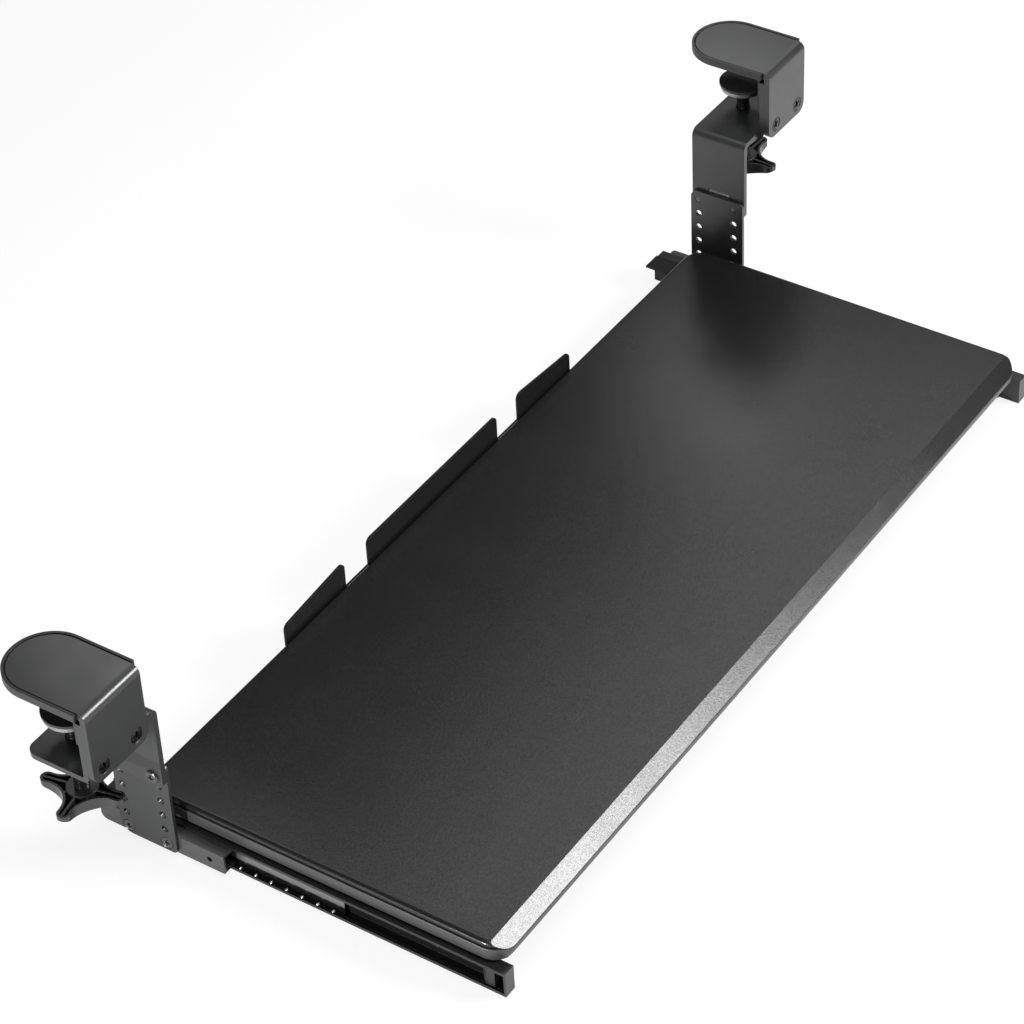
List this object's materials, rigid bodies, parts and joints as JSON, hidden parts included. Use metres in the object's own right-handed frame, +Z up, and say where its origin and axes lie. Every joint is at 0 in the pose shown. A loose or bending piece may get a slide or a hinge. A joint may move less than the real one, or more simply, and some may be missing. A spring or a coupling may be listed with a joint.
{
  "type": "keyboard_tray",
  "caption": "Under-desk keyboard tray: a thin board on ball-bearing slides, hung from two bent steel clamps that are screwed onto the desk edge from below.",
  "frame": {"origin": "the desk's front top edge on the tray's middle line, where both clamps grip the desk", "axes": "+X to the user's right along the desk edge, +Y away from the user under the desk, +Z up"},
  "size_m": [0.8644, 0.3145, 0.1881],
  "materials": {
    "board": "fine grained black laminate over fibreboard",
    "band": "satin plastic edge strip",
    "dark_steel": "fine textured black powder coat",
    "coated_steel": "fine textured dark grey powder coat",
    "screws": "black oxide",
    "zinc": "zinc plated",
    "slide": "zinc plated, satin",
    "dark_slide": "black plated slide steel",
    "cage": "bare strip steel",
    "ball": "polished steel",
    "pad": "soft rubber",
    "bumper": "moulded rubber",
    "knob": "moulded nylon, satin"
  },
  "bodies": {
    "frame": {"clamp_top_left": "coated_steel", "clamp_top_right": "coated_steel", "top_pad_left": "pad", "top_pad_right": "pad", "lower_bracket_left": "coated_steel", "lower_bracket_right": "coated_steel", "side_plate_left": "coated_steel", "side_plate_right": "coated_steel", "clamp_nut_left": "zinc", "clamp_nut_right": "zinc", "fixed_rail_left": "slide", "fixed_rail_right": "slide", "clamp_screws": "screws", "hanger_screws": "coated_steel", "slide_screws": "coated_steel"},
    "tray": {"tray_board": "board", "edge_band": "band", "rear_stop": "dark_steel", "stop_screws": "screws", "tray_screws": "screws", "slide_rivets": "zinc", "moving_rail_left": "dark_slide", "moving_rail_right": "dark_slide", "tray_flange_left": "dark_steel", "tray_flange_right": "dark_steel", "rail_bumper_left": "bumper", "rail_bumper_right": "bumper"},
    "cage_left": {"ball_cage_left": "cage", "balls_left": "ball"},
    "cage_right": {"ball_cage_right": "cage", "balls_right": "ball"},
    "pad_left": {"pressure_disc_left": "zinc", "pressure_pad_left": "pad"},
    "pad_right": {"pressure_disc_right": "zinc", "pressure_pad_right": "pad"},
    "screw_left": {"spindle_left": "zinc", "knob_left": "knob"},
    "screw_right": {"spindle_right": "zinc", "knob_right": "knob"}
  },
  "joints": [
    {"name": "tray_slide", "type": "slide", "parent": "frame", "child": "tray", "axis": [0, 1, 0], "range_m": [0, 0.188]},
    {"name": "cage_left_slide", "type": "slide", "parent": "frame", "child": "cage_left", "axis": [0, 1, 0], "range_m": [0, 0.094]},
    {"name": "cage_right_slide", "type": "slide", "parent": "frame", "child": "cage_right", "axis": [0, 1, 0], "range_m": [0, 0.094]},
    {"name": "pad_left_lift", "type": "slide", "parent": "frame", "child": "pad_left", "axis": [0, 0, 1], "range_m": [-0.012, 0.023]},
    {"name": "pad_right_lift", "type": "slide", "parent": "frame", "child": "pad_right", "axis": [0, 0, 1], "range_m": [-0.012, 0.023]},
    {"name": "knob_left_turn", "type": "hinge", "parent": "pad_left", "child": "screw_left", "pos_m": [-0.403, 0.0275, -0.1], "axis": [0, 0, 1], "range_deg": [-2880, 5520]},
    {"name": "knob_right_turn", "type": "hinge", "parent": "pad_right", "child": "screw_right", "pos_m": [0.403, 0.0275, -0.1], "axis": [0, 0, 1], "range_deg": [-2880, 5520]}
  ],
  "couplings": [
    {"joint": "cage_left_slide", "follows": "tray_slide", "ratio": 0.5},
    {"joint": "cage_right_slide", "follows": "tray_slide", "ratio": 0.5},
    {"joint": "knob_left_turn", "follows": "pad_left_lift", "rad_per_m": 4188.8},
    {"joint": "knob_right_turn", "follows": "pad_right_lift", "rad_per_m": 4188.8}
  ]
}
